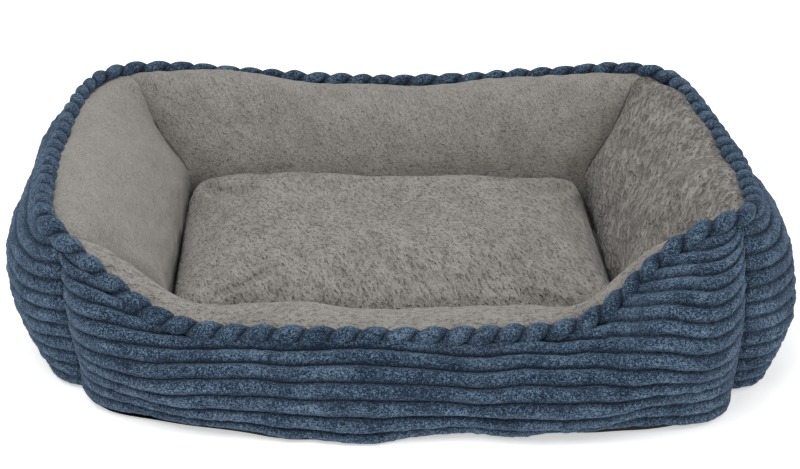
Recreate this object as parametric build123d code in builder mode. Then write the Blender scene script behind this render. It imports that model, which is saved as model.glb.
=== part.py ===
"""Bolster pet bed with a loose cushion, in millimetres.

The frame: +X runs along the bed's length, +Y to its back, +Z up. The origin is on the floor, under the bed's
middle. Four stuffed walls stand round a flat base, and meet at mitres that all pass through the Z axis, so every
wall is lofted through upright sections that fan out round that axis.
"""

import os
from dataclasses import dataclass
from math import atan2, cos, hypot, radians, sin, tan

from build123d import *

# Overall size, at the fullest part of the walls.
BED_LENGTH = 600.0
BED_DEPTH = 465.0

# The mitre corners, in plan: how far along X and Y from the middle the rim turns.
RIM_CORNER_X = 237.0
RIM_CORNER_Y = 170.0

# Distances from the Z axis along a mitre.
RIM_CORNER = hypot(RIM_CORNER_X, RIM_CORNER_Y)
BELLY_CORNER = RIM_CORNER - 5.0
FOOT_CORNER = RIM_CORNER - 11.0
CREASE_CORNER = RIM_CORNER - 78.0

# The wall panels swell outwards between the corners.
FOOT_SETBACK = 15.0  # from the fullest part of a wall in to its foot
INNER_SWELL = 6.0  # how far an inner face leans over the well's edge
CORNER_FULLNESS = 4  # power of the swelling: higher is squarer at the corners

# Heights of the panels' top edge, under the piping.
FRONT_CORNER_HEIGHT = 142.0
BACK_CORNER_HEIGHT = 125.0
ENTRY_HEIGHT = 68.0
RIM_SAG = 10.0  # between the corners, on the back and side walls
ENTRY_FLAT = 0.38  # half the low stretch of the front wall, as a share of its half length
ENTRY_TOP = 0.86  # where the front wall is back at its full height

# Cloth, wadding and piping.
BASE_CLOTH = 1.5
BASE_PAD = 10.5
LINING = 2.0
CORD_CLOTH = 3.0
PLUSH = 3.0
RIM_CLOTH_SHARE = 2.6  # the two panels and their seam allowance, under the piping, against one layer of cloth
PIPING_DIAMETER = 11.6
PIPING_CORD_DIAMETER = 7.2
PIPING_LIFT = 3.0  # from the panels' top edge to the piping's centre
CLEARANCE = 0.3  # between the cushion and what it rests on

# The loose cushion.
CUSHION_LENGTH = 332.0
CUSHION_DEPTH = 232.0
CUSHION_THICKNESS = 48.0
CUSHION_CORNER = 45.0
CUSHION_EDGE = 21.0

FLOOR_OF_WALLS = BASE_CLOTH
TOP_OF_LINING = BASE_CLOTH + BASE_PAD + LINING


@dataclass
class Wall:
    """One wall. Distances are outwards from the Z axis, at the wall's middle, and shares are of a half length."""

    name: str
    facing: float  # the way its outside faces, in degrees from +X
    corner_out: float
    corner_along: float
    belly: float
    rim: float
    first_corner_height: float
    last_corner_height: float
    has_entry: bool

    @property
    def crease(self):
        """How far out the foot of the inner face is."""
        return CREASE_CORNER / RIM_CORNER * self.corner_out

    def angle(self, share):
        """The section's angle from the wall's facing, at a share of the wall's half length."""
        return atan2(share * self.corner_along, self.corner_out)

    def plane(self, share):
        """The upright plane through the Z axis that holds the section: X outwards, Y up."""
        turn = radians(self.facing) + self.angle(share)
        return Plane(origin=(0, 0, 0), x_dir=(cos(turn), sin(turn), 0), z_dir=(sin(turn), -cos(turn), 0))

    def swell(self, share, middle, corner, fullness=CORNER_FULLNESS):
        """A distance along the section that is middle at the wall's middle and corner at its mitres."""
        corner_out = corner * cos(self.angle(1))
        out = corner_out + (middle - corner_out) * (1 - abs(share) ** fullness)
        return out / cos(self.angle(share))

    def rim_height(self, share):
        """The height of the panels' top edge."""
        if self.has_entry:
            rise = min(1.0, max(0.0, (abs(share) - ENTRY_FLAT) / (ENTRY_TOP - ENTRY_FLAT)))
            rise = rise * rise * (3 - 2 * rise)
            return ENTRY_HEIGHT + (FRONT_CORNER_HEIGHT - ENTRY_HEIGHT) * rise
        level = self.first_corner_height + (self.last_corner_height - self.first_corner_height) * (share + 1) / 2
        return level - RIM_SAG * (1 - share**2)

    def rim_distance(self, share):
        """How far out the panels' top edge is, along the section."""
        return self.swell(share, self.rim, RIM_CORNER, fullness=2)


WALLS = [
    Wall(
        name="front",
        facing=-90,
        corner_out=RIM_CORNER_Y,
        corner_along=RIM_CORNER_X,
        belly=BED_DEPTH / 2,
        rim=RIM_CORNER_Y + 29,
        first_corner_height=FRONT_CORNER_HEIGHT,
        last_corner_height=FRONT_CORNER_HEIGHT,
        has_entry=True,
    ),
    Wall(
        name="right",
        facing=0,
        corner_out=RIM_CORNER_X,
        corner_along=RIM_CORNER_Y,
        belly=BED_LENGTH / 2,
        rim=RIM_CORNER_X + 16,
        first_corner_height=FRONT_CORNER_HEIGHT,
        last_corner_height=BACK_CORNER_HEIGHT,
        has_entry=False,
    ),
    Wall(
        name="back",
        facing=90,
        corner_out=RIM_CORNER_Y,
        corner_along=RIM_CORNER_X,
        belly=BED_DEPTH / 2,
        rim=RIM_CORNER_Y + 16,
        first_corner_height=BACK_CORNER_HEIGHT,
        last_corner_height=BACK_CORNER_HEIGHT,
        has_entry=False,
    ),
    Wall(
        name="left",
        facing=180,
        corner_out=RIM_CORNER_X,
        corner_along=RIM_CORNER_Y,
        belly=BED_LENGTH / 2,
        rim=RIM_CORNER_X + 16,
        first_corner_height=BACK_CORNER_HEIGHT,
        last_corner_height=FRONT_CORNER_HEIGHT,
        has_entry=False,
    ),
]

PLAIN_STATIONS = [-1, -0.9, -0.7, -0.35, 0, 0.35, 0.7, 0.9, 1]
ENTRY_STATIONS = [-1, -0.92, -0.8, -0.67, -0.54, -0.42, -0.22, 0, 0.22, 0.42, 0.54, 0.67, 0.8, 0.92, 1]


def stations(wall):
    return ENTRY_STATIONS if wall.has_entry else PLAIN_STATIONS


def section_points(wall, share, skin):
    """The corners of a wall's section, (distance out, height), drawn in by skin from the outside of the cloth."""
    top = wall.rim_height(share)
    foot = wall.swell(share, wall.belly - FOOT_SETBACK, FOOT_CORNER)
    belly = wall.swell(share, wall.belly, BELLY_CORNER)
    rim = wall.rim_distance(share)
    crease = wall.crease / cos(wall.angle(share))
    fullness = 1 - share**4
    lean = INNER_SWELL * fullness
    shoulder_share = 0.42 + 0.08 * (1 - fullness)
    shoulder = rim + (crease - rim) * shoulder_share
    shoulder_height = top * (0.62 + 0.33 * fullness)
    inner_height = top * (0.2 + 0.16 * fullness)
    return {
        "foot": (foot - skin, FLOOR_OF_WALLS),
        "belly": (belly - skin, 0.42 * top),
        "rim": (rim, top - RIM_CLOTH_SHARE * skin),
        "shoulder": (shoulder + 0.3 * skin, shoulder_height - skin),
        "inner": (crease - lean + skin, inner_height),
        "crease": (crease + skin, TOP_OF_LINING),
        "inner_foot": (crease + skin, FLOOR_OF_WALLS),
    }


def wall_solid(wall, skin):
    """A wall lofted from mitre to mitre, drawn in by skin."""
    with BuildPart() as solid:
        for share in stations(wall):
            point = section_points(wall, share, skin)
            with BuildSketch(wall.plane(share)):
                with BuildLine():
                    Spline(point["foot"], point["belly"], point["rim"])
                    Spline(point["rim"], point["shoulder"], point["inner"], point["crease"])
                    Polyline(point["crease"], point["inner_foot"], point["foot"])
                make_face()
        loft()
    return solid.part


def place(wall, share, distance, height):
    """A point of a section, in the bed's frame."""
    turn = radians(wall.facing) + wall.angle(share)
    return Vector(distance * cos(turn), distance * sin(turn), height)


def rim_points():
    """The piping's route round the rim, as points that turn a little at each one."""
    points = []
    for wall in WALLS:
        shares = [-0.97, -0.88, -0.76, -0.62, -0.48, -0.33, -0.12, 0.12, 0.33, 0.48, 0.62, 0.76, 0.88, 0.97]
        for share in shares:
            height = wall.rim_height(share) + PIPING_LIFT
            points.append(place(wall, share, wall.rim_distance(share), height))
    return points


def rim_path():
    """A closed path of short runs joined by tangent arcs, each as large as its runs allow."""
    points = rim_points()
    radii = []
    for before, here, after in zip([points[-1], *points], points, [*points[1:], points[0]]):
        half_turn = radians((here - before).get_angle(after - here)) / 2
        shorter = min((here - before).length, (after - here).length)
        radii.append(0.45 * shorter / tan(half_turn))
    return FilletPolyline(*points, radius=radii, close=True, mode=Mode.PRIVATE)


def piping_rod(diameter):
    """A round rod along the rim."""
    path = rim_path()
    with BuildPart() as rod:
        with BuildSketch(Plane(path @ 0, z_dir=path % 0)):
            Circle(diameter / 2)
        sweep(path=path)
    return rod.part


def export(part, name):
    part.label = name
    export_step(part, f"parts/{name}.step")


def rim_plan():
    """The ground inside the rim, as a tall block that parts inner panels from outer ones."""
    with BuildPart() as inside:
        with BuildSketch():
            with BuildLine():
                for wall in WALLS:
                    edge = [place(wall, s, wall.rim_distance(s), 0) for s in stations(wall)]
                    Spline(*edge)
            make_face()
        extrude(amount=2 * FRONT_CORNER_HEIGHT)
    return inside.part


def largest(part):
    """The panel without the crumbs that the piping cuts off at its corners."""
    return part.solids().sort_by(SortBy.VOLUME)[-1]


def make_base():
    """The non-slip underside, the thin pad on it and the lining that the cushion lies on."""
    with BuildPart() as base_bottom_panel:
        with BuildSketch():
            with BuildLine():
                for wall in WALLS:
                    edge = [
                        place(wall, s, wall.swell(s, wall.belly - FOOT_SETBACK, FOOT_CORNER), 0)
                        for s in stations(wall)
                    ]
                    Spline(*edge)
            make_face()
        extrude(amount=BASE_CLOTH)
    export(base_bottom_panel.part, "base_bottom_panel")

    well_length = 2 * CREASE_CORNER * RIM_CORNER_X / RIM_CORNER - 2
    well_depth = 2 * CREASE_CORNER * RIM_CORNER_Y / RIM_CORNER - 2
    with BuildPart() as base_pad:
        with BuildSketch(Plane.XY.offset(BASE_CLOTH)):
            RectangleRounded(well_length, well_depth, 6)
        extrude(amount=BASE_PAD)
    export(base_pad.part, "base_pad")

    with BuildPart() as base_lining:
        with BuildSketch(Plane.XY.offset(BASE_CLOTH + BASE_PAD)):
            RectangleRounded(well_length, well_depth, 6)
        extrude(amount=LINING)
    export(base_lining.part, "base_lining")


def make_walls(piping):
    """Each wall's stuffing, its outer panel of cord cloth and its inner panel of plush."""
    inside_of_rim = rim_plan()
    for wall in WALLS:
        stuffing = wall_solid(wall, CORD_CLOTH)
        outline = wall_solid(wall, 0)
        with BuildPart() as fill:
            add(stuffing)
        export(fill.part, f"{wall.name}_bolster_fill")

        with BuildPart() as outer_panel:
            add(outline)
            add(stuffing, mode=Mode.SUBTRACT)
            add(piping, mode=Mode.SUBTRACT)
            add(inside_of_rim, mode=Mode.SUBTRACT)
        export(largest(outer_panel.part), f"{wall.name}_outer_panel")

        with BuildPart() as inner_panel:
            add(outline)
            add(stuffing, mode=Mode.SUBTRACT)
            add(piping, mode=Mode.SUBTRACT)
            add(inside_of_rim, mode=Mode.INTERSECT)
        export(largest(inner_panel.part), f"{wall.name}_inner_panel")


def make_piping(piping):
    """The cord-cloth sleeve round the rim, and the filler cord in it."""
    filler = piping_rod(PIPING_CORD_DIAMETER)
    with BuildPart() as sleeve:
        add(piping)
        add(filler, mode=Mode.SUBTRACT)
    export(sleeve.part, "rim_piping_cover")
    export(filler, "rim_piping_cord")


def pillow(shrink):
    """A cushion with rounded edges, drawn in by shrink on every side."""
    with BuildPart() as body:
        with BuildSketch(Plane.XY.offset(TOP_OF_LINING + CLEARANCE + shrink)):
            RectangleRounded(CUSHION_LENGTH - 2 * shrink, CUSHION_DEPTH - 2 * shrink, CUSHION_CORNER - shrink)
        extrude(amount=CUSHION_THICKNESS - 2 * shrink)
        ends = body.faces().filter_by(Axis.Z)
        fillet(ends.edges(), CUSHION_EDGE - shrink)
    return body.part


def make_cushion():
    """The loose cushion: two plush panels sewn edge to edge round a fibre filling."""
    seam_height = TOP_OF_LINING + CLEARANCE + CUSHION_THICKNESS / 2
    outline = pillow(0)
    filling = pillow(PLUSH)
    export(filling, "cushion_fill")
    for name, keep in (("cushion_top_panel", Keep.TOP), ("cushion_bottom_panel", Keep.BOTTOM)):
        with BuildPart() as panel:
            add(outline)
            add(filling, mode=Mode.SUBTRACT)
            split(bisect_by=Plane.XY.offset(seam_height), keep=keep)
        export(panel.part, name)


os.makedirs("parts", exist_ok=True)
make_base()
rim_piping = piping_rod(PIPING_DIAMETER)
make_piping(rim_piping)
make_walls(rim_piping)
make_cushion()
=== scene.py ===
"""Looks of the bolster pet bed: cord-cloth walls, rope-like piping, plush lining and a loose plush cushion.

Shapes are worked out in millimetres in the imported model's frame (+X right, +Y to the back, +Z up) and
become metres when a mesh is made.
"""

import math

import bpy
import numpy as np
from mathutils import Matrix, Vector


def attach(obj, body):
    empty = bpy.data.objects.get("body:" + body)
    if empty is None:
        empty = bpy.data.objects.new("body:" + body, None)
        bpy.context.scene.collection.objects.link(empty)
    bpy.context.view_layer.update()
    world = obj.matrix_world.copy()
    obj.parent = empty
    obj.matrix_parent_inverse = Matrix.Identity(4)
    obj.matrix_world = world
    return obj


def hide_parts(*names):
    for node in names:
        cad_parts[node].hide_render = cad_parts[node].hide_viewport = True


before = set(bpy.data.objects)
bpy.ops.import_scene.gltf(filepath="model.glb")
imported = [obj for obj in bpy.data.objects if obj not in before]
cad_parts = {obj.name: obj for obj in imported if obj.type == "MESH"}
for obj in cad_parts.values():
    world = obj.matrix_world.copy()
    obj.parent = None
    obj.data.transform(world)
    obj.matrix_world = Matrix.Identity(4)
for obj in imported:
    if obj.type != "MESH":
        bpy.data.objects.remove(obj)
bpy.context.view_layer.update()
MM = 0.001

# ---------------------------------------------------------------- sizes, in mm

WALE = 12.2  # from one roll of the cord cloth to the next
WALE_DEPTH = 4.3
CLOTH = 2.4
PLUSH = 2.6
FILL_INSET = 7.5  # from the panels' mean surface in to the stuffing's
LINING_TOP = 13.6
WELL_HALF_X = 182.0  # the pad and the lining reach this far, under the walls' edges
WELL_HALF_Y = 132.0
PIPING_RADIUS = 7.3
PIPING_GROOVE = 4.0
PIPING_LAY = 19.0  # along the piping, from one roll to the next
PIPING_LIFT = 2.3  # from the panels' edge up to the piping's centre
PIPING_PROUD = 2.2  # from the panels' edge out to the piping's centre
PIPING_STARTS = 1  # rolls crossed on the way once round it
PIPING_SIDES = 30
FILLER_RADIUS = 2.5
FILLER_SIDES = 10

COLUMNS = 260  # along each wall
OUTER_ROWS = 132
INNER_ROWS = 72

# The four corner seams, anticlockwise from the front left, each from the foot up to the rim:
# (x, y, height).
FRONT_LEFT = [(-228, -149, 1), (-228, -159, 29), (-232, -168, 66), (-236, -167, 105), (-244, -160, 132)]
FRONT_RIGHT = [(237, -154, 1), (237, -166, 26), (238, -177, 66), (239, -175, 106), (245, -155, 137)]
BACK_RIGHT = [(210, 163, 1), (213, 172, 27), (216, 180, 62), (216, 181, 105), (218, 177, 134)]
BACK_LEFT = [(-233, 170, 1), (-236, 178, 27), (-240, 186, 62), (-245, 187, 105), (-249, 184, 135)]

# The creases inside those corners, from the rim down: (share, height share), the share being 1 at the
# rim's corner and 0 at the well's, whose plan follows.
CORNER_INNER = [(1.0, 1.0), (0.82, 0.94), (0.62, 0.85), (0.33, 0.65), (-0.02, 0.44), (0.02, 0.11)]
WELL_CORNERS = {(-1, -1): (-168, -116), (1, -1): (168, -116), (1, 1): (155, 117), (-1, 1): (-176, 118)}

# Near the corners the plush is painted darker, as shade in the creases.
CREASE_START = 0.84  # from this share of the way to a corner on, the plush darkens
PINCH = 0.32  # how much of a wall's swelling comes right beside its corner seams

# How far each corner of the rim is rounded, in mm: front left, front right, back right, back left.
RIM_ROUNDING = (20, 20, 40, 54)


class Wall:
    """A stuffed wall between two rim corners.

    outer and inner are its section halfway along: (distance from the bed's middle, share of the height),
    from foot to rim and from rim to crease. rim_power is how square the rim bows out between its corners,
    and corner_power how square the swelling is towards the first and the last corner, foot first.
    """

    def __init__(self, name, first, last, outward, outer, inner, rim_sag, rim_power, corner_power):
        self.name = name
        self.seams = np.array([first, last], float)
        self.first = self.seams[0, -1]
        self.last = self.seams[1, -1]
        self.outward = np.array(outward, float)
        self.outer = outer
        self.inner = inner
        self.rim_sag = rim_sag
        self.rim_power = rim_power
        self.corner_power = corner_power


WALLS = [
    Wall(
        "front",
        FRONT_LEFT,
        FRONT_RIGHT,
        (0, -1, 0),
        outer=[(224, 0.004), (232, 0.2), (235, 0.44), (223, 0.78), (199, 1.0)],
        inner=[(199, 1.0), (190, 1.02), (172, 0.97), (146, 0.7), (121, 0.36), (125, 0.1)],
        rim_sag=0,
        rim_power=2.6,
        corner_power=((3.6, 4.2), (6.5, 13.0)),
    ),
    Wall(
        "right",
        FRONT_RIGHT,
        BACK_RIGHT,
        (1, 0, 0),
        outer=[(269, 0.004), (278, 0.2), (285, 0.46), (275, 0.78), (246, 1.0)],
        inner=[(246, 1.0), (237, 1.05), (220, 1.0), (183, 0.74), (159, 0.44), (168, 0.11)],
        rim_sag=9,
        rim_power=2.0,
        corner_power=((3.6, 4.4), (4.5, 5.0)),
    ),
    Wall(
        "back",
        BACK_RIGHT,
        BACK_LEFT,
        (0, 1, 0),
        outer=[(220, 0.004), (228, 0.2), (231, 0.44), (218, 0.78), (187, 1.0)],
        inner=[(187, 1.0), (178, 1.05), (160, 1.0), (138, 0.79), (124, 0.54), (125, 0.12)],
        rim_sag=22.5,
        rim_power=2.0,
        corner_power=((4.5, 5.0), (4.5, 5.0)),
    ),
    Wall(
        "left",
        BACK_LEFT,
        FRONT_LEFT,
        (-1, 0, 0),
        outer=[(269, 0.004), (281, 0.2), (288, 0.46), (288, 0.78), (260, 1.0)],
        inner=[(260, 1.0), (250, 1.03), (230, 0.96), (197, 0.72), (176, 0.48), (175, 0.11)],
        rim_sag=7,
        rim_power=2.0,
        corner_power=((4.5, 4.6), (4.4, 4.4)),
    ),
]

# The front wall at the entry: (distance, height) from foot to rim and on to the crease.
ENTRY_OUTER = [(225, 0.5), (233, 13), (235, 30), (221, 53), (199, 65)]
ENTRY_INNER = [(199, 65), (190, 71), (172, 72), (143, 62), (122, 42), (125, 14)]

# The front's rim from its left corner to its right: (x, height).
ENTRY_RIM = [(-244, 132), (-230, 121), (-203, 107), (-187, 98), (-165, 81), (-151, 71), (-134, 66.5),
             (-110, 64), (0, 65.5), (68, 66), (99, 68.5), (118, 74), (141, 82.5), (155, 97), (166, 113.5),
             (178, 126), (197, 131.5), (217, 135.5), (246, 137)]
ENTRY_LOW = 66  # up to this height the front's section is the entry's
ENTRY_HIGH = 125  # and from this one it's the wall's own

# How much further the lip falls on the front's right slope, by section point, as a share of the height.
LIP_DROP = {6: 0.05, 7: 0.13, 8: 0.1}

# Bumps in the front's bottom seam: (x, width, outwards, upwards).
HEM_BUMPS = [(-135, 38, -2, 4.5), (-92, 22, 6, -1), (-45, 30, 8, -1), (20, 30, -4, 1.5), (125, 44, -7, 6),
             (190, 20, -2, 2)]


# ---------------------------------------------------------------- curves and grids


def smooth_through(points, count):
    """count points, evenly spaced by number along axis 0, on a smooth curve through the given ones."""
    first = 2 * points[:1] - points[1:2]
    last = 2 * points[-1:] - points[-2:-1]
    p = np.concatenate([first, points, last])
    at = np.linspace(0, len(points) - 1, count)
    i = np.minimum(at.astype(int), len(points) - 2)
    f = (at - i).reshape(-1, *[1] * (points.ndim - 1))
    a, b, c, d = p[i], p[i + 1], p[i + 2], p[i + 3]
    return 0.5 * (2 * b + (c - a) * f + (2 * a - 5 * b + 4 * c - d) * f**2 + (3 * b - a - 3 * c + d) * f**3)


def even_rows(controls, rows):
    """A grid with rows spaced evenly along each column's curve, and each column's length."""
    dense = smooth_through(controls, 260)
    steps = np.linalg.norm(np.diff(dense, axis=0), axis=2)
    along = np.concatenate([np.zeros((1, steps.shape[1])), np.cumsum(steps, axis=0)])
    grid = np.empty((rows, dense.shape[1], 3))
    for column in range(dense.shape[1]):
        want = np.linspace(0, along[-1, column], rows)
        for axis in range(3):
            grid[:, column, axis] = np.interp(want, along[:, column], dense[:, column, axis])
    return grid, along[-1]


def refine(grid, rows, columns):
    """A coarse grid of vectors carried smoothly to a finer one."""
    tall = smooth_through(grid, rows)
    return smooth_through(tall.swapaxes(0, 1), columns).swapaxes(0, 1)


def grid_normals(grid):
    """Unit normals of a grid, pointing to the side from which rows go up and columns go right."""
    along_rows = np.gradient(grid, axis=0)
    along_columns = np.gradient(grid, axis=1)
    normals = np.cross(along_columns, along_rows)
    return normals / np.maximum(np.linalg.norm(normals, axis=2, keepdims=True), 1e-9)


def ripple(points, size, seed, waves=14):
    """A smooth random field, about -1 to 1, whose lumps are about size across."""
    dice = np.random.default_rng(seed)
    field = np.zeros(points.shape[:-1])
    for _ in range(waves):
        heading = dice.normal(size=3)
        heading *= dice.uniform(0.6, 1.4) / np.linalg.norm(heading)
        field += np.sin(points @ heading * (math.pi / size) + dice.uniform(0, 2 * math.pi))
    return field / math.sqrt(waves)


def wale(phase):
    """The cord cloth's rolls: 1 along the top of a roll, 0 in the groove between two."""
    return np.abs(np.sin(math.pi * phase)) ** 0.58


# ---------------------------------------------------------------- the walls' shape


def rim_height(wall, share):
    """The rim's height along a wall, share running from -1 at its first corner to 1 at its last."""
    if wall.name == "front":
        x, z = np.array(ENTRY_RIM).T
        bed_x = wall.first[0] + (wall.last[0] - wall.first[0]) * (share + 1) / 2
        knots = np.linspace(x[0], x[-1], 90)
        level = smooth_through(np.interp(knots, x, z), 90)
        padded = np.pad(level, 2, mode="reflect", reflect_type="odd")
        soft = np.convolve(padded, np.ones(5) / 5, mode="valid")
        return np.interp(bed_x, knots, soft)
    level = wall.first[2] + (wall.last[2] - wall.first[2]) * (share + 1) / 2
    return level - wall.rim_sag * (1 - np.abs(share) ** 1.6)


def swelling(wall, share, at_foot=False):
    """1 at the wall's middle, falling to 0 at its corner seams."""
    first, last = wall.corner_power
    power = np.where(share < 0, first[0 if at_foot else 1], last[0 if at_foot else 1])
    return 1 - (1 - PINCH) * np.abs(share) ** power - PINCH * np.abs(share) ** 34


def hem_wave(wall, share):
    """How the bottom seam wavers: (outwards, upwards), in mm."""
    at = wall.first + np.outer((share + 1) / 2, wall.last - wall.first)
    out = ripple(at, 34, 11 + len(wall.name)) * 1.6
    up = ripple(at, 42, 12 + len(wall.name)) * 0.9
    if wall.name == "front":
        for x, wide, swell, rise in HEM_BUMPS:
            near = np.exp(-(((at[:, 0] - x) / wide) ** 2))
            out += near * swell
            up += near * rise
    calm = 1 - share**8
    return out * calm, np.maximum(up, 0) * calm


def corner_point(seam, k):
    """Section point k where two walls meet: up the corner seam outside, then down the crease inside."""
    if k < len(seam):
        return seam[k]
    share, level = CORNER_INNER[k - len(seam)]
    rim = seam[-1]
    well = np.array([*WELL_CORNERS[tuple(np.sign(rim[:2]).astype(int))], 0.0])
    point = well + (rim - well) * share
    point[2] = rim[2] * level
    return point


def wall_controls(wall, columns):
    """The wall's section points, foot to rim and rim to crease, for every column."""
    share = np.linspace(-1, 1, columns)
    part = (share[:, None] + 1) / 2
    height = rim_height(wall, share)
    foot, swell = swelling(wall, share, at_foot=True), swelling(wall, share)
    rim = 1 - np.abs(share) ** wall.rim_power
    spreads = [foot, foot, swell, swell, rim, rim, rim, (rim + swell) / 2, swell, swell, swell]
    middle = wall.outer + wall.inner
    entry = ENTRY_OUTER + ENTRY_INNER
    if wall.name == "front":
        low = np.clip((ENTRY_HIGH - height) / (ENTRY_HIGH - ENTRY_LOW), 0, 1)
        low = low * low * (3 - 2 * low)
        right = np.clip((share - 0.35) / 0.25, 0, 1)
    controls = np.empty((len(middle), columns, 3))
    hem_out, hem_up = hem_wave(wall, share)
    for k, (distance, level) in enumerate(middle):
        ends = [corner_point(seam, k) for seam in wall.seams]
        point = ends[0] + part * (ends[1] - ends[0])
        first_level = ends[0][2] / wall.first[2]
        last_level = ends[1][2] / wall.last[2]
        corner_level = first_level + part[:, 0] * (last_level - first_level)
        on_line = (ends[0] + ends[1]) / 2 @ wall.outward
        out = np.full(columns, distance, float)
        z = height * (corner_level + (level - corner_level) * swell)
        if wall.name == "front":
            z -= height * swell * right * LIP_DROP.get(k, 0)
            out += (entry[k][0] - out) * low
            z += (entry[k][1] - z) * low
        point += np.outer((out - on_line) * spreads[k], wall.outward)
        point[:, 2] = z
        if k == 0:
            point += np.outer(hem_out, wall.outward)
            point[:, 2] += hem_up
        elif k == 1:
            point += np.outer(hem_out * 0.6, wall.outward)
        controls[k] = point
    return controls[:5], controls[5:]


def rounded_rim(columns):
    """How far each wall's rim moves when the rim's corners are rounded, column by column."""
    loops = [wall_controls(wall, columns)[0][-1] for wall in WALLS]
    loop = np.concatenate([rim[:-1] for rim in loops])
    nearness = [
        np.clip(0.5 + side * loop[:, 0] / 160, 0, 1) * np.clip(0.5 + end * loop[:, 1] / 120, 0, 1)
        for side, end in ((-1, -1), (1, -1), (1, 1), (-1, 1))
    ]
    soft = np.zeros_like(loop)
    for near, rounding in zip(nearness, RIM_ROUNDING):
        reach = max(1, round(columns * rounding / 460))
        rounded = loop
        for _ in range(3):
            window = [np.roll(rounded, shift, axis=0) for shift in range(-reach, reach + 1)]
            rounded = sum(window) / len(window)
        soft += rounded * (near / sum(nearness))[:, None]
    moves = []
    for i in range(len(WALLS)):
        take = (np.arange(columns) + i * (columns - 1)) % len(loop)
        moves.append(soft[take] - loop[take])
    return soft, moves


def wall_grids(wall, index, columns, outer_rows, inner_rows):
    """A wall's outer and inner grids, with the rim's corners rounded, and the outer columns' lengths."""
    outer, inner = wall_controls(wall, columns)
    move = rounded_rim(columns)[1][index]
    for k, weight in ((4, 1.0), (3, 0.25)):
        outer[k] += move * weight
    for k, weight in ((0, 1.0), (1, 0.85), (2, 0.4)):
        inner[k] += move * weight
    outer_grid, lengths = even_rows(outer, outer_rows)
    inner_grid, _ = even_rows(inner, inner_rows)
    return outer_grid, inner_grid, lengths


# ---------------------------------------------------------------- meshes


def new_object(name, vertices, faces, smooth=True):
    mesh = bpy.data.meshes.new(name)
    mesh.from_pydata((np.asarray(vertices) * MM).tolist(), [], faces)
    mesh.update()
    if smooth:
        mesh.shade_smooth()
    made = bpy.data.objects.new(name, mesh)
    bpy.context.scene.collection.objects.link(made)
    return made


def grid_faces(rows, columns, start=0, around=False):
    """Quads of a grid, facing as grid_normals says; around joins the last column to the first."""
    faces = []
    for row in range(rows - 1):
        for column in range(columns if around else columns - 1):
            after = (column + 1) % columns
            a = start + row * columns + column
            b = start + row * columns + after
            faces.append((a, b, b + columns, a + columns))
    return faces


def only(made):
    bpy.ops.object.select_all(action="DESELECT")
    made.select_set(True)
    bpy.context.view_layer.objects.active = made


def apply_modifiers(made):
    only(made)
    for modifier in list(made.modifiers):
        bpy.ops.object.modifier_apply(modifier=modifier.name)


def thicken(made, thickness):
    """Gives a cloth panel its real thickness, on the side away from its face."""
    solid = made.modifiers.new("thickness", "SOLIDIFY")
    solid.thickness = thickness * MM
    solid.offset = -1
    solid.use_rim = True
    apply_modifiers(made)


def add_attribute(made, name, values):
    attribute = made.data.attributes.new(name, "FLOAT", "POINT")
    attribute.data.foreach_set("value", np.asarray(values, np.float32).ravel())


# ---------------------------------------------------------------- stuffing, by cloth simulation


def blow_up(made, pinned, pressure, cap):
    """Swells a closed cloth form by pressure, with its seams pinned, and caps how far each vertex moves.

    Returns the moves, in mm.
    """
    before = np.array([v.co[:] for v in made.data.vertices])
    group = made.vertex_groups.new(name="seams")
    group.add([int(i) for i in pinned], 1.0, "REPLACE")
    cloth = made.modifiers.new("stuffing", "CLOTH")
    settings = cloth.settings
    settings.quality = 6
    settings.mass = 0.3
    settings.tension_stiffness = 18
    settings.compression_stiffness = 8
    settings.shear_stiffness = 6
    settings.bending_stiffness = 0.6
    settings.use_pressure = True
    settings.uniform_pressure_force = pressure
    settings.vertex_group_mass = "seams"
    settings.effector_weights.gravity = 0
    cloth.collision_settings.use_collision = False
    cloth.point_cache.frame_start = 1
    cloth.point_cache.frame_end = 20
    scene = bpy.context.scene
    for number in range(1, 21):
        scene.frame_set(number)
    apply_modifiers(made)
    scene.frame_set(1)
    after = np.array([v.co[:] for v in made.data.vertices])
    move = (after - before) / MM
    far = np.linalg.norm(move, axis=1, keepdims=True)
    move *= np.minimum(1, cap / np.maximum(far, 1e-6))
    for vertex, start, step in zip(made.data.vertices, before, move):
        vertex.co = start + step * MM
    return move


SIM_COLUMNS = 61
SIM_OUTER = 17
SIM_INNER = 15
SIM_BOTTOM = 5


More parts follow.
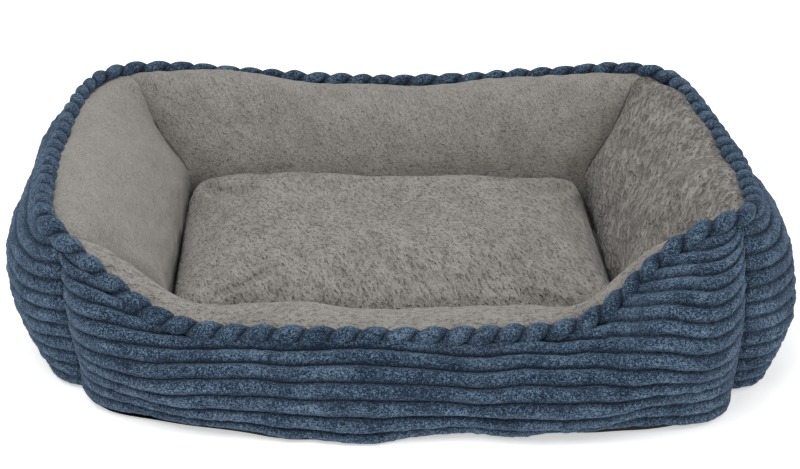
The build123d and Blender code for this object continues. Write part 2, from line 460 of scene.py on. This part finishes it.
def stuff_wall(wall, index):
    """The wall's stuffing as a closed form, and how far it swells the outer and the inner panel."""
    outer, inner, _ = wall_grids(wall, index, SIM_COLUMNS, SIM_OUTER, SIM_INNER)
    under = np.linspace(inner[-1], outer[0], SIM_BOTTOM + 2)[1:-1]
    ring = np.concatenate([outer, inner[1:], under])
    count = len(ring)
    vertices = ring.reshape(-1, 3)
    faces = grid_faces(count, SIM_COLUMNS)
    last = (count - 1) * SIM_COLUMNS
    faces += [(last + c, last + c + 1, c + 1, c) for c in range(SIM_COLUMNS - 1)]
    faces.append([row * SIM_COLUMNS for row in range(count)])
    faces.append([row * SIM_COLUMNS + SIM_COLUMNS - 1 for row in reversed(range(count))])
    made = new_object(f"{wall.name}_bolster_stuffing", vertices, faces)
    pinned = set()
    for row in (0, SIM_OUTER - 1, *range(SIM_OUTER + SIM_INNER - 2, count)):
        pinned.update(range(row * SIM_COLUMNS, (row + 1) * SIM_COLUMNS))
    for row in range(count):
        pinned.update((row * SIM_COLUMNS, row * SIM_COLUMNS + SIM_COLUMNS - 1))
    move = np.zeros((len(vertices), 3))
    move = blow_up(made, pinned, pressure=5.0, cap=12.0)
    move = move.reshape(count, SIM_COLUMNS, 3)
    normals = np.array([v.normal[:] for v in made.data.vertices])
    for vertex, normal in zip(made.data.vertices, normals):
        vertex.co -= Vector(normal * FILL_INSET * MM)
    swell_outer = move[:SIM_OUTER]
    swell_inner = move[SIM_OUTER - 1 : SIM_OUTER + SIM_INNER - 1] * 0.6
    return made, swell_outer, swell_inner


# ---------------------------------------------------------------- panels


def outer_panel(wall, index, swell):
    """Cord cloth with its rolls running along the wall, cut along the rim."""
    grid, _, lengths = wall_grids(wall, index, COLUMNS, OUTER_ROWS, INNER_ROWS)
    grid += refine(swell, OUTER_ROWS, COLUMNS)
    share = np.linspace(-1, 1, COLUMNS)
    fraction = np.linspace(0, 1, OUTER_ROWS)[:, None]
    height = fraction * lengths
    seam = 1 - np.abs(share) ** 24
    normals = grid_normals(grid)
    grid += normals * (ripple(grid, 58, 5 + index) * 1.9 * seam)[..., None]
    wander = ripple(grid * (0.5, 0.5, 0.8), 44, 40 + index) * 0.12 + ripple(grid, 18, 50 + index) * 0.035
    pile = wale(height / WALE + 0.12 + wander)
    depth = WALE_DEPTH * (0.45 + 0.55 * seam) * (1 - 0.5 * np.exp(-(lengths - height) / 3.0))
    depth *= 1 + 0.2 * ripple(grid, 50, 55 + index)
    fuzz = ripple(grid, 6, 60 + index) * 0.3 + ripple(grid, 3, 70 + index) * 0.22
    grid += normals * ((pile - 0.72) * depth + fuzz)[..., None]
    grid[:3] += normals[:3] * -np.array([2.4, 1.2, 0.4])[:, None, None]
    grid[..., 2] = np.maximum(grid[..., 2], 0.4)
    made = new_object(f"{wall.name}_outer_cord_panel", grid.reshape(-1, 3), grid_faces(OUTER_ROWS, COLUMNS))
    add_attribute(made, "pile", pile)
    thicken(made, CLOTH)
    return made


def inner_panel(wall, index, swell):
    """Plush from the rim down to the crease round the well."""
    _, grid, _ = wall_grids(wall, index, COLUMNS, OUTER_ROWS, INNER_ROWS)
    grid += refine(swell, INNER_ROWS, COLUMNS)
    normals = grid_normals(grid)
    share = np.linspace(-1, 1, COLUMNS)
    seam = 1 - np.abs(share) ** 20
    lumps = ripple(grid, 50, 80 + index) * 1.9 * seam + ripple(grid, 21, 85 + index) * 0.5 * seam
    grid += normals * (lumps + ripple(grid, 8, 90 + index) * 0.3)[..., None]
    made = new_object(f"{wall.name}_inner_plush_panel", grid.reshape(-1, 3), grid_faces(INNER_ROWS, COLUMNS))
    # The crease attribute says where painted shade darkens the plush: beside the corner seams, away from the
    # rim.
    beside = np.clip((np.abs(share) - CREASE_START) / (1 - CREASE_START), 0, 1) ** 1.5
    below = np.clip(np.linspace(-0.6, 2.4, INNER_ROWS), 0, 1)
    add_attribute(made, "crease", np.outer(below, beside))
    thicken(made, PLUSH)
    return made


# ---------------------------------------------------------------- piping


def across_line(line):
    """For each point of a closed line, the unit directions square to it: upwards and outwards."""
    ahead = np.roll(line, -1, axis=0) - np.roll(line, 1, axis=0)
    ahead /= np.linalg.norm(ahead, axis=1, keepdims=True)
    up = np.array([0, 0, 1.0]) - ahead * ahead[:, 2:3]
    up /= np.linalg.norm(up, axis=1, keepdims=True)
    return up, np.cross(ahead, up)


def rim_line():
    """The piping's centre line: a closed loop of evenly spaced points just over the rim."""
    loop, _ = rounded_rim(COLUMNS)
    closed = np.concatenate([loop, loop[:1]])
    along = np.concatenate([[0], np.cumsum(np.linalg.norm(np.diff(closed, axis=0), axis=1))])
    count = round(along[-1] / 0.85)
    want = np.linspace(0, along[-1], count, endpoint=False)
    line = np.stack([np.interp(want, along, closed[:, axis]) for axis in range(3)], axis=1)
    up, side = across_line(line)
    line += up * PIPING_LIFT + side * PIPING_PROUD
    for _ in range(6):
        line = (np.roll(line, 1, axis=0) + 2 * line + np.roll(line, -1, axis=0)) / 4
    return line, along[-1]


def tube(line, radii, around):
    """Rings of points round a closed line; radii is a radius for each ring and angle."""
    up, side = across_line(line)
    turn = np.linspace(0, 2 * math.pi, around, endpoint=False)
    ring = side[:, None] * np.cos(turn)[:, None] + up[:, None] * np.sin(turn)[:, None]
    return line[:, None] + ring * radii[..., None]


def tube_faces(rings, around):
    """Quads of a tube that joins up with itself."""
    faces = []
    for ring in range(rings):
        after = (ring + 1) % rings
        for i in range(around):
            j = (i + 1) % around
            faces.append((ring * around + i, after * around + i, after * around + j, ring * around + j))
    return faces


def rim_piping():
    """Cord cloth cut on the bias round a cord, so that its rolls wind round it like a rope's strands."""
    line, length = rim_line()
    rolls = round(length / PIPING_LAY)
    along = np.linspace(0, rolls, len(line), endpoint=False)
    turn = np.linspace(0, PIPING_STARTS, PIPING_SIDES, endpoint=False)
    wobble = ripple(line, 45, 7) * 0.1
    pile = wale(along[:, None] + wobble[:, None] - turn[None])
    radii = PIPING_RADIUS - PIPING_GROOVE * (1 - pile)
    radii *= 1 + 0.05 * ripple(line, 30, 8)[:, None] - 0.14 * np.clip(line[:, 1:2] / 180, 0, 1)
    radii += ripple(tube(line, radii, PIPING_SIDES), 4.5, 9) * 0.3
    points = tube(line, radii, PIPING_SIDES)
    made = new_object("rim_piping_cord_cloth", points.reshape(-1, 3), tube_faces(len(line), PIPING_SIDES))
    add_attribute(made, "pile", pile)
    return made


def piping_filler():
    """The soft cord inside the piping."""
    line, _ = rim_line()
    line = line[::4]
    radii = np.full((len(line), FILLER_SIDES), FILLER_RADIUS)
    points = tube(line, radii, FILLER_SIDES)
    return new_object("rim_piping_filler_cord", points.reshape(-1, 3), tube_faces(len(line), FILLER_SIDES))


# ---------------------------------------------------------------- the cushion

CUSHION_CORNERS = [(-167, -115), (162, -115), (152, 120), (-176, 120)]
CUSHION_RADIUS = 18
CUSHION_SEAM = 38.0
CUSHION_TOP = 64.0
CUSHION_TILT = 7.0  # how much higher it's plumped along the back
CUSHION_FLOOR = LINING_TOP + 0.8
FILLING_SHARE = (0.96, 0.96, 0.84)  # of the cushion's own size
SIM_RINGS = 22
SIM_AROUND = 144
CUSHION_RINGS = 64
CUSHION_AROUND = 480


def cushion_outline(count):
    """The seam's line in plan: four corners rounded off, points spaced evenly."""
    points = []
    corners = np.array(CUSHION_CORNERS, float)
    for before, corner, after in zip(np.roll(corners, 1, axis=0), corners, np.roll(corners, -1, axis=0)):
        back = (before - corner) / np.linalg.norm(before - corner)
        on = (after - corner) / np.linalg.norm(after - corner)
        for t in np.linspace(0, 1, 24):
            points.append(corner + (back * (1 - t) ** 2 + on * t**2) * CUSHION_RADIUS)
    closed = np.array(points + points[:1])
    along = np.concatenate([[0], np.cumsum(np.linalg.norm(np.diff(closed, axis=0), axis=1))])
    want = np.linspace(0, along[-1], count, endpoint=False)
    return np.stack([np.interp(want, along, closed[:, axis]) for axis in range(2)], axis=1)


def cushion_rings(reach):
    """Rings of one cushion panel from near its middle out to the seam, bulging by reach."""
    outline = cushion_outline(SIM_AROUND)
    middle = outline.mean(axis=0)
    rings = []
    for t in np.linspace(0.02, 1, SIM_RINGS) ** 0.8:
        ring = middle + (outline - middle) * t
        z = CUSHION_SEAM + reach * (1 - t**9) ** 0.5
        if reach > 0:
            z = z + CUSHION_TILT * np.clip(ring[:, 1] / 118, 0, 1) ** 2 * (1 - t**9) ** 0.5
        z = np.broadcast_to(z, SIM_AROUND)
        rings.append(np.column_stack([ring, z]))
    return np.array(rings)


def closed_cushion(name, top, bottom):
    """One closed form from the two panels' rings, which share the seam."""
    rings, around = top.shape[:2]
    body = np.concatenate([top, bottom[-2::-1]])
    centres = np.array([top[0].mean(axis=0), bottom[0].mean(axis=0)])
    faces = [face[::-1] for face in grid_faces(len(body), around, around=True)]
    low, high = len(body) * around, len(body) * around + 1
    last = (len(body) - 1) * around
    faces += [(low, i, (i + 1) % around) for i in range(around)]
    faces += [(high, last + (i + 1) % around, last + i) for i in range(around)]
    return new_object(name, np.vstack([body.reshape(-1, 3), centres]), faces)


def plumped_cushion():
    """The top and bottom panels' rings after the stuffing has swelled them."""
    top = cushion_rings(CUSHION_TOP - CUSHION_SEAM)
    bottom = cushion_rings(CUSHION_FLOOR - CUSHION_SEAM)
    trial = closed_cushion("cushion_trial", top, bottom)
    seam = range((SIM_RINGS - 1) * SIM_AROUND, SIM_RINGS * SIM_AROUND)
    blow_up(trial, seam, pressure=4.0, cap=9.0)
    points = np.array([v.co[:] for v in trial.data.vertices]) / MM
    bpy.data.objects.remove(trial)
    body = points[:-2].reshape(2 * SIM_RINGS - 1, SIM_AROUND, 3)
    return body[:SIM_RINGS], body[: SIM_RINGS - 2 : -1]


def fine_rings(rings):
    """Rings carried smoothly to a finer grid that joins up with itself."""
    lap = 3
    wrapped = np.concatenate([rings[:, -lap:], rings, rings[:, : lap + 1]], axis=1)
    per = CUSHION_AROUND // SIM_AROUND + 1
    columns = (wrapped.shape[1] - 1) * per + 1
    fine = refine(wrapped, CUSHION_RINGS, columns)
    return fine[:, lap * per : lap * per + SIM_AROUND * per]


def ruffle(rings, top, seed):
    """Lumps of stuffing and brushed pile, none of them at the seam."""
    outward = grid_normals(np.concatenate([rings, rings[:, :1]], axis=1))[:, :-1]
    outward *= np.sign(outward[len(outward) // 2, 0, 2]) * (1 if top else -1)
    calm = (1 - np.linspace(0, 1, len(rings)) ** 10)[:, None]
    lumps = ripple(rings, 52, seed) * 2.1 + ripple(rings, 22, seed + 1) * 0.7
    lumps += ripple(rings, 8, seed + 2) * 0.3
    return rings + outward * (lumps * calm)[..., None]


def cushion_panel(name, rings, top):
    """One plush panel from its rings, closed in the middle and given the cloth's thickness."""
    around = rings.shape[1]
    middle = rings[0].mean(axis=0)
    faces = grid_faces(len(rings), around, around=True)
    centre = rings.shape[0] * around
    faces += [(centre, (i + 1) % around, i) for i in range(around)]
    if top:
        faces = [face[::-1] for face in faces]
    made = new_object(name, np.vstack([rings.reshape(-1, 3), middle]), faces)
    thicken(made, PLUSH)
    return made


def make_cushion():
    """The two plush panels, meeting edge to edge, and the stuffing between them."""
    top, bottom = plumped_cushion()
    centre = np.array([*top.reshape(-1, 3).mean(axis=0)[:2], CUSHION_SEAM])
    filling = closed_cushion(
        "cushion_fibre_filling",
        centre + (top - centre) * FILLING_SHARE,
        centre + (bottom - centre) * FILLING_SHARE,
    )
    top = ruffle(fine_rings(top), True, 21)
    bottom = ruffle(fine_rings(bottom), False, 31)
    bottom[..., 2] = np.maximum(bottom[..., 2], CUSHION_FLOOR - 0.2)
    top_panel = cushion_panel("cushion_top_plush", top, True)
    bottom_panel = cushion_panel("cushion_bottom_plush", bottom, False)
    return top_panel, bottom_panel, filling


# ---------------------------------------------------------------- the base


BASE_LEVEL = 1.1

# The underside from its edge in: (share of the bottom seam's plan, height), None following the seam.
BASE_RINGS = [(0.988, None), (0.98, 1.6), (0.965, 1.2), (0.93, BASE_LEVEL), (0.75, BASE_LEVEL),
              (0.5, BASE_LEVEL), (0.25, BASE_LEVEL)]
DOT_GAP = 0.02  # the printed dots, in metres
DOT_RADIUS = 0.0028
FIRST_DOT = (-0.19, -0.13, 0.0006)


def foot_loop():
    """The bottom seam: the outer panels' lower edges, all round, every fourth point."""
    loop = np.concatenate([wall_grids(wall, i, COLUMNS, 8, 8)[0][0][:-1] for i, wall in enumerate(WALLS)])
    return loop[::4]


def base_cloth():
    """The non-slip underside, lying flat on the floor and turned up to the bottom seam at its edge."""
    loop = foot_loop()
    rings = []
    for share, z in BASE_RINGS:
        ring = loop * share
        ring[:, 2] = loop[:, 2] + 1.4 if z is None else z
        rings.append(ring)
    around = len(loop)
    faces = grid_faces(len(rings), around, around=True)
    centre = len(rings) * around
    last = centre - around
    faces += [(last + i, last + (i + 1) % around, centre) for i in range(around)]
    points = np.vstack([*rings, [0, 0, BASE_LEVEL]])
    made = new_object("base_non_slip_cloth", points, faces)
    thicken(made, 0.5)
    return made


def grip_dots():
    """Printed rubber dots on the underside: one dot, copied over a grid."""
    bpy.ops.object.select_all(action="DESELECT")
    bpy.ops.mesh.primitive_uv_sphere_add(segments=10, ring_count=4, radius=DOT_RADIUS, location=FIRST_DOT)
    dots = bpy.context.object
    dots.name = "base_grip_dots"
    bpy.ops.object.mode_set(mode="EDIT")
    bpy.ops.transform.resize(value=(1, 1, 0.2))
    bpy.ops.object.mode_set(mode="OBJECT")
    bpy.ops.object.transform_apply(location=True, rotation=True, scale=True)
    for step, count in (((DOT_GAP, 0, 0), 20), ((0, DOT_GAP, 0), 14)):
        array = dots.modifiers.new("rows", "ARRAY")
        array.use_relative_offset = False
        array.use_constant_offset = True
        array.constant_offset_displace = step
        array.count = count
    apply_modifiers(dots)
    return dots


def slab(name, low, high, puff, rows=40, columns=56):
    """A flat rectangular pad between two heights, its edges rounded and its faces puffed a little."""
    x = np.linspace(-1, 1, columns)
    y = np.linspace(-1, 1, rows)
    across, deep = np.meshgrid(x, y)
    edge = (1 - np.abs(across) ** 40) * (1 - np.abs(deep) ** 30)
    middle = (low + high) / 2
    half = (high - low) / 2 * edge**0.4
    flat = np.stack([across * WELL_HALF_X, deep * WELL_HALF_Y, np.zeros_like(across)], axis=-1)
    lumps = ripple(flat, 40, 77) * puff * edge
    top = flat.copy()
    top[..., 2] = middle + half + lumps - puff
    under = flat.copy()
    under[..., 2] = middle - half
    inside = np.zeros((rows, columns), bool)
    inside[1:-1, 1:-1] = True
    number = np.arange(rows * columns).reshape(rows, columns)
    under_number = np.where(inside, number + rows * columns, number).ravel()
    faces = grid_faces(rows, columns)
    faces += [tuple(int(under_number[v]) for v in reversed(face)) for face in grid_faces(rows, columns)]
    made = new_object(name, np.vstack([top.reshape(-1, 3), under.reshape(-1, 3)]), faces)
    only(made)
    bpy.ops.object.mode_set(mode="EDIT")
    bpy.ops.mesh.select_all(action="SELECT")
    bpy.ops.mesh.delete_loose()
    bpy.ops.object.mode_set(mode="OBJECT")
    return made


# ---------------------------------------------------------------- materials


def new_material(name, roughness, sheen=0.0, sheen_tint=(1, 1, 1), sheen_roughness=0.5):
    made = bpy.data.materials.new(name)
    made.use_nodes = True
    shader = made.node_tree.nodes["Principled BSDF"]
    shader.inputs["Roughness"].default_value = roughness
    shader.inputs["Specular IOR Level"].default_value = 0.2
    shader.inputs["Sheen Weight"].default_value = sheen
    shader.inputs["Sheen Roughness"].default_value = sheen_roughness
    shader.inputs["Sheen Tint"].default_value = (*sheen_tint, 1)
    return made


class Nodes:
    """Short calls for one material's node tree."""

    def __init__(self, material):
        self.tree = material.node_tree
        self.shader = self.tree.nodes["Principled BSDF"]
        self.place = self.tree.nodes.new("ShaderNodeTexCoord").outputs["Object"]

    def link(self, source, socket):
        self.tree.links.new(source, socket)

    def stretched(self, along, factor):
        """Coordinates stretched along a direction, for strokes of pile."""
        turn = self.tree.nodes.new("ShaderNodeMapping")
        turn.inputs["Rotation"].default_value = Vector(along).to_track_quat("X", "Z").inverted().to_euler()
        self.link(self.place, turn.inputs["Vector"])
        scale = self.tree.nodes.new("ShaderNodeMapping")
        scale.inputs["Scale"].default_value = (1 / factor, 1, 1)
        self.link(turn.outputs["Vector"], scale.inputs["Vector"])
        return scale.outputs["Vector"]

    def noise(self, size, detail=2.0, rough=0.5, where=None):
        """Noise whose lumps are size across, in mm."""
        made = self.tree.nodes.new("ShaderNodeTexNoise")
        made.inputs["Scale"].default_value = 1000 / size
        made.inputs["Detail"].default_value = detail
        made.inputs["Roughness"].default_value = rough
        self.link(where or self.place, made.inputs["Vector"])
        return made.outputs["Fac"]

    def span(self, value, low, high, to_low=0.0, to_high=1.0):
        made = self.tree.nodes.new("ShaderNodeMapRange")
        made.interpolation_type = "SMOOTHSTEP"
        made.inputs["From Min"].default_value = low
        made.inputs["From Max"].default_value = high
        made.inputs["To Min"].default_value = to_low
        made.inputs["To Max"].default_value = to_high
        self.link(value, made.inputs["Value"])
        return made.outputs["Result"]

    def math(self, operation, a, b):
        made = self.tree.nodes.new("ShaderNodeMath")
        made.operation = operation
        for socket, value in zip(made.inputs, (a, b)):
            if isinstance(value, (int, float)):
                socket.default_value = value
            else:
                self.link(value, socket)
        return made.outputs["Value"]

    def ramp(self, value, stops):
        made = self.tree.nodes.new("ShaderNodeValToRGB")
        elements = made.color_ramp.elements
        while len(elements) < len(stops):
            elements.new(0.5)
        for element, (place, color) in zip(elements, stops):
            element.position = place
            element.color = (*color, 1)
        self.link(value, made.inputs["Fac"])
        return made.outputs["Color"]

    def tinted(self, kind, factor, first, second):
        made = self.tree.nodes.new("ShaderNodeMix")
        made.data_type = "RGBA"
        made.blend_type = kind
        for socket, value in ((made.inputs[0], factor), (made.inputs[6], first), (made.inputs[7], second)):
            if isinstance(value, (int, float)):
                socket.default_value = value
            elif isinstance(value, tuple):
                socket.default_value = (*value, 1)
            else:
                self.link(value, socket)
        return made.outputs[2]

    def attribute(self, name):
        made = self.tree.nodes.new("ShaderNodeAttribute")
        made.attribute_name = name
        return made.outputs["Fac"]

    def bump(self, height, distance, strength=1.0, under=None):
        made = self.tree.nodes.new("ShaderNodeBump")
        made.inputs["Distance"].default_value = distance * MM
        made.inputs["Strength"].default_value = strength
        self.link(height, made.inputs["Height"])
        if under is not None:
            self.link(under, made.inputs["Normal"])
        return made.outputs["Normal"]

    def color(self, value):
        self.link(value, self.shader.inputs["Base Color"])

    def normal(self, value):
        self.link(value, self.shader.inputs["Normal"])


def cord_pile():
    """Wide-wale cord plush: speckled navy and steel-blue pile on the rolls, dark grooves of ground cloth and
    painted shade.
    """
    made = new_material("cord_pile", 0.95, sheen=0.35, sheen_tint=(0.45, 0.66, 0.95), sheen_roughness=0.45)
    n = Nodes(made)
    fine = n.noise(0.78, detail=1.0, rough=0.5)
    tufts = n.noise(2.0, detail=1.0, rough=0.5)
    patches = n.noise(22, detail=3.0, rough=0.6)
    speckle = n.math("ADD", n.math("MULTIPLY", fine, 0.68), n.math("MULTIPLY", tufts, 0.32))
    speckle = n.math("ADD", speckle, n.math("MULTIPLY", n.math("SUBTRACT", patches, 0.5), 0.28))
    pile = n.ramp(
        n.span(speckle, 0.36, 0.64),
        [(0.0, (0.002, 0.009, 0.024)), (0.35, (0.013, 0.032, 0.064)), (0.65, (0.043, 0.083, 0.140)),
         (1.0, (0.180, 0.262, 0.355))],
    )
    worn = n.tinted("MIX", n.span(n.noise(38, detail=3), 0.4, 0.7, 0.0, 0.2), pile, (0.046, 0.054, 0.092))
    # Down the rolls' sides into the grooves the colour darkens: partly the bare ground cloth, partly painted
    # shade.
    groove = n.span(n.attribute("pile"), 0.2, 0.97)
    n.color(n.tinted("MIX", groove, (0.005, 0.012, 0.026), worn))
    n.normal(n.bump(fine, 1.6, under=n.bump(tufts, 2.4, under=n.bump(patches, 3.0, 0.4))))
    return made


def plush(name, tone=1.0, strokes=0.8, crowd=0.42, brushed=0.3, tuft=2.4, along=(-0.45, 0.8, 0.5)):
    """Short-pile plush: warm grey with brushed patches, and painted shade in strokes where the pile parts
    and in creases.

    tone darkens it, strokes and crowd say how dark and how many the strokes are, brushed how strong the
    patches are, and tuft (in mm) and along the strokes' size and direction.
    """
    made = new_material(name, 0.95, sheen=0.3, sheen_tint=(1, 0.97, 0.93), sheen_roughness=0.5)
    n = Nodes(made)
    fine = n.noise(1.0, detail=1.0, rough=0.5, where=n.stretched(along, 2.0))
    parting = n.noise(tuft, detail=2.0, rough=0.6, where=n.stretched(along, 2.8))
    brush = n.noise(17, detail=3.0, rough=0.6, where=n.stretched(along, 1.6))
    shades = [(0.0, (0.232, 0.219, 0.203)), (0.5, (0.286, 0.271, 0.252)), (1.0, (0.355, 0.337, 0.313))]
    ground = n.ramp(
        n.span(fine, 0.3, 0.7),
        [(place, tuple(part * tone for part in shade)) for place, shade in shades],
    )
    shaded = n.tinted("MULTIPLY", n.span(brush, 0.35, 0.65, brushed, 0.0), ground, (0.66, 0.65, 0.64))
    # The dark strokes are painted shade in the partings of the pile; the dents below bump the same places.
    stroke = n.span(parting, crowd - 0.16, crowd + 0.04, 1.0, 0.0)
    patchy = n.math("MULTIPLY", stroke, n.span(n.noise(17, detail=2.0), 0.3, 0.6, strokes * 0.45, strokes))
    parting_shaded = n.tinted("MULTIPLY", patchy, shaded, (0.34, 0.32, 0.30))
    # Painted shade in the creases beside the corner seams, darkest low down.
    crease_shade = n.math("MULTIPLY", n.attribute("crease"), 0.6)
    n.color(n.tinted("MULTIPLY", crease_shade, parting_shaded, (0.30, 0.28, 0.26)))
    soft = n.bump(brush, 5.0, 0.5)
    dents = n.bump(n.span(parting, crowd - 0.15, crowd + 0.12), 0.7 + 2.1 * strokes, 1.0, under=soft)
    n.normal(n.bump(fine, 0.7, under=dents))
    return made


def black_cloth():
    """Black woven polyester."""
    made = new_material("non_slip_cloth", 0.8)
    n = Nodes(made)
    weave = n.noise(0.9, detail=1.0)
    n.color(n.ramp(weave, [(0.3, (0.006, 0.006, 0.007)), (0.7, (0.022, 0.022, 0.025))]))
    n.normal(n.bump(weave, 0.4))
    return made


def rubber_dots():
    """Black rubber."""
    made = new_material("grip_rubber", 0.45)
    n = Nodes(made)
    n.color(n.ramp(n.noise(6), [(0.3, (0.010, 0.010, 0.011)), (0.7, (0.018, 0.018, 0.020))]))
    return made


def fibre():
    """Loose white polyester fibre."""
    made = new_material("fibre", 0.9)
    n = Nodes(made)
    wisps = n.noise(5, detail=4.0, rough=0.7)
    n.color(n.ramp(wisps, [(0.3, (0.62, 0.62, 0.60)), (0.7, (0.86, 0.86, 0.84))]))
    n.normal(n.bump(wisps, 3.0))
    return made


# ---------------------------------------------------------------- putting it together


def finish_piece(piece, material, body, nodes):
    """Gives a piece its material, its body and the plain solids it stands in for."""
    piece.data.materials.clear()
    piece.data.materials.append(material)
    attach(piece, body)
    if nodes:
        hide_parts(*nodes)


cord = cord_pile()
wall_plush = {
    "front": plush("plush_front", strokes=0.42, crowd=0.42, brushed=0.45, tuft=3.2, along=(-0.6, -0.2, 0.6)),
    "right": plush("plush_right", strokes=1.0, crowd=0.50, brushed=1.0, tuft=3.4, along=(0.3, 0.8, 0.3)),
    "back": plush("plush_back", tone=0.93, strokes=0.14, crowd=0.38, brushed=0.4),
    "left": plush("plush_left", tone=0.90, strokes=0.05, crowd=0.32, brushed=0.22),
}
cushion_plush = plush("plush_cushion", strokes=0.56, crowd=0.41, brushed=0.6, tuft=2.3)
wadding = fibre()

for index, wall in enumerate(WALLS):
    stuffing, swell_outer, swell_inner = stuff_wall(wall, index)
    outer = outer_panel(wall, index, swell_outer)
    inner = inner_panel(wall, index, swell_inner)
    finish_piece(stuffing, wadding, "bed", [f"{wall.name}_bolster_fill"])
    finish_piece(outer, cord, "bed", [f"{wall.name}_outer_panel"])
    finish_piece(inner, wall_plush[wall.name], "bed", [f"{wall.name}_inner_panel"])
    outer_grid, inner_grid, _ = wall_grids(wall, index, 80, 30, 30)

piping = rim_piping()
finish_piece(piping, cord, "bed", ["rim_piping_cover"])
filler = piping_filler()
finish_piece(filler, wadding, "bed", ["rim_piping_cord"])

cushion_top, cushion_bottom, cushion_filling = make_cushion()
finish_piece(cushion_top, cushion_plush, "cushion", ["cushion_top_panel"])
finish_piece(cushion_bottom, cushion_plush, "cushion", ["cushion_bottom_panel"])
finish_piece(cushion_filling, wadding, "cushion", ["cushion_fill"])

base = base_cloth()
finish_piece(base, black_cloth(), "bed", ["base_bottom_panel"])
dots = grip_dots()
finish_piece(dots, rubber_dots(), "bed", [])
pad = slab("base_flat_pad", 1.8, 11.0, 0.2)
finish_piece(pad, wadding, "bed", ["base_pad"])
lining = slab("base_well_lining", 11.2, LINING_TOP, 0.25)
finish_piece(lining, wall_plush["back"], "bed", ["base_lining"])

# ---------------------------------------------------------------- camera, floor and light

SENSOR = 36
LENS = 90.4
ELEVATION = 23.5  # degrees above level
DISTANCE = 1.56  # metres from the point it looks at, which is this high over the floor
AIM_HEIGHT = 0.056

scene = bpy.context.scene
camera_data = bpy.data.cameras.new("camera")
camera_data.sensor_width = SENSOR
camera_data.lens = LENS
camera = bpy.data.objects.new("camera", camera_data)
scene.collection.objects.link(camera)
elevation = math.radians(ELEVATION)
camera.location = (0, -DISTANCE * math.cos(elevation), AIM_HEIGHT + DISTANCE * math.sin(elevation))
camera.rotation_euler = (math.pi / 2 - elevation, 0, 0)
camera_data.clip_start, camera_data.clip_end = 0.05, 50
scene.camera = camera

bpy.ops.object.select_all(action="DESELECT")
bpy.ops.mesh.primitive_plane_add(size=14, location=(0, 0, -0.0005))
floor = bpy.context.object
floor.name = "studio_floor"
white_floor = new_material("floor_white", 0.9)
floor_shader = white_floor.node_tree.nodes["Principled BSDF"]
floor_shader.inputs["Base Color"].default_value = (0.93, 0.93, 0.93, 1)
floor_shader.inputs["Emission Color"].default_value = (1, 1, 1, 1)
floor_shader.inputs["Emission Strength"].default_value = 0.5
floor.data.materials.append(white_floor)

world = bpy.data.worlds.new("studio")
world.use_nodes = True
background = world.node_tree.nodes["Background"]
background.inputs["Color"].default_value = (1, 1, 1, 1)
background.inputs["Strength"].default_value = 0.48
scene.world = world


def soft_light(name, place, size, power):
    """A square lamp at a place, turned to the bed."""
    data = bpy.data.lights.new(name, "AREA")
    data.shape = "RECTANGLE"
    data.size = size
    data.size_y = size
    data.energy = power
    made = bpy.data.objects.new(name, data)
    scene.collection.objects.link(made)
    made.location = place
    made.rotation_euler = (-Vector(place)).to_track_quat("-Z", "Y").to_euler()


soft_light("key", (-0.7, -1.2, 1.9), 1.2, 21)
soft_light("fill", (1.6, -0.9, 1.3), 1.4, 8)
soft_light("top", (0, 0.5, 2.1), 1.5, 10.5)

scene.view_settings.view_transform = "Standard"
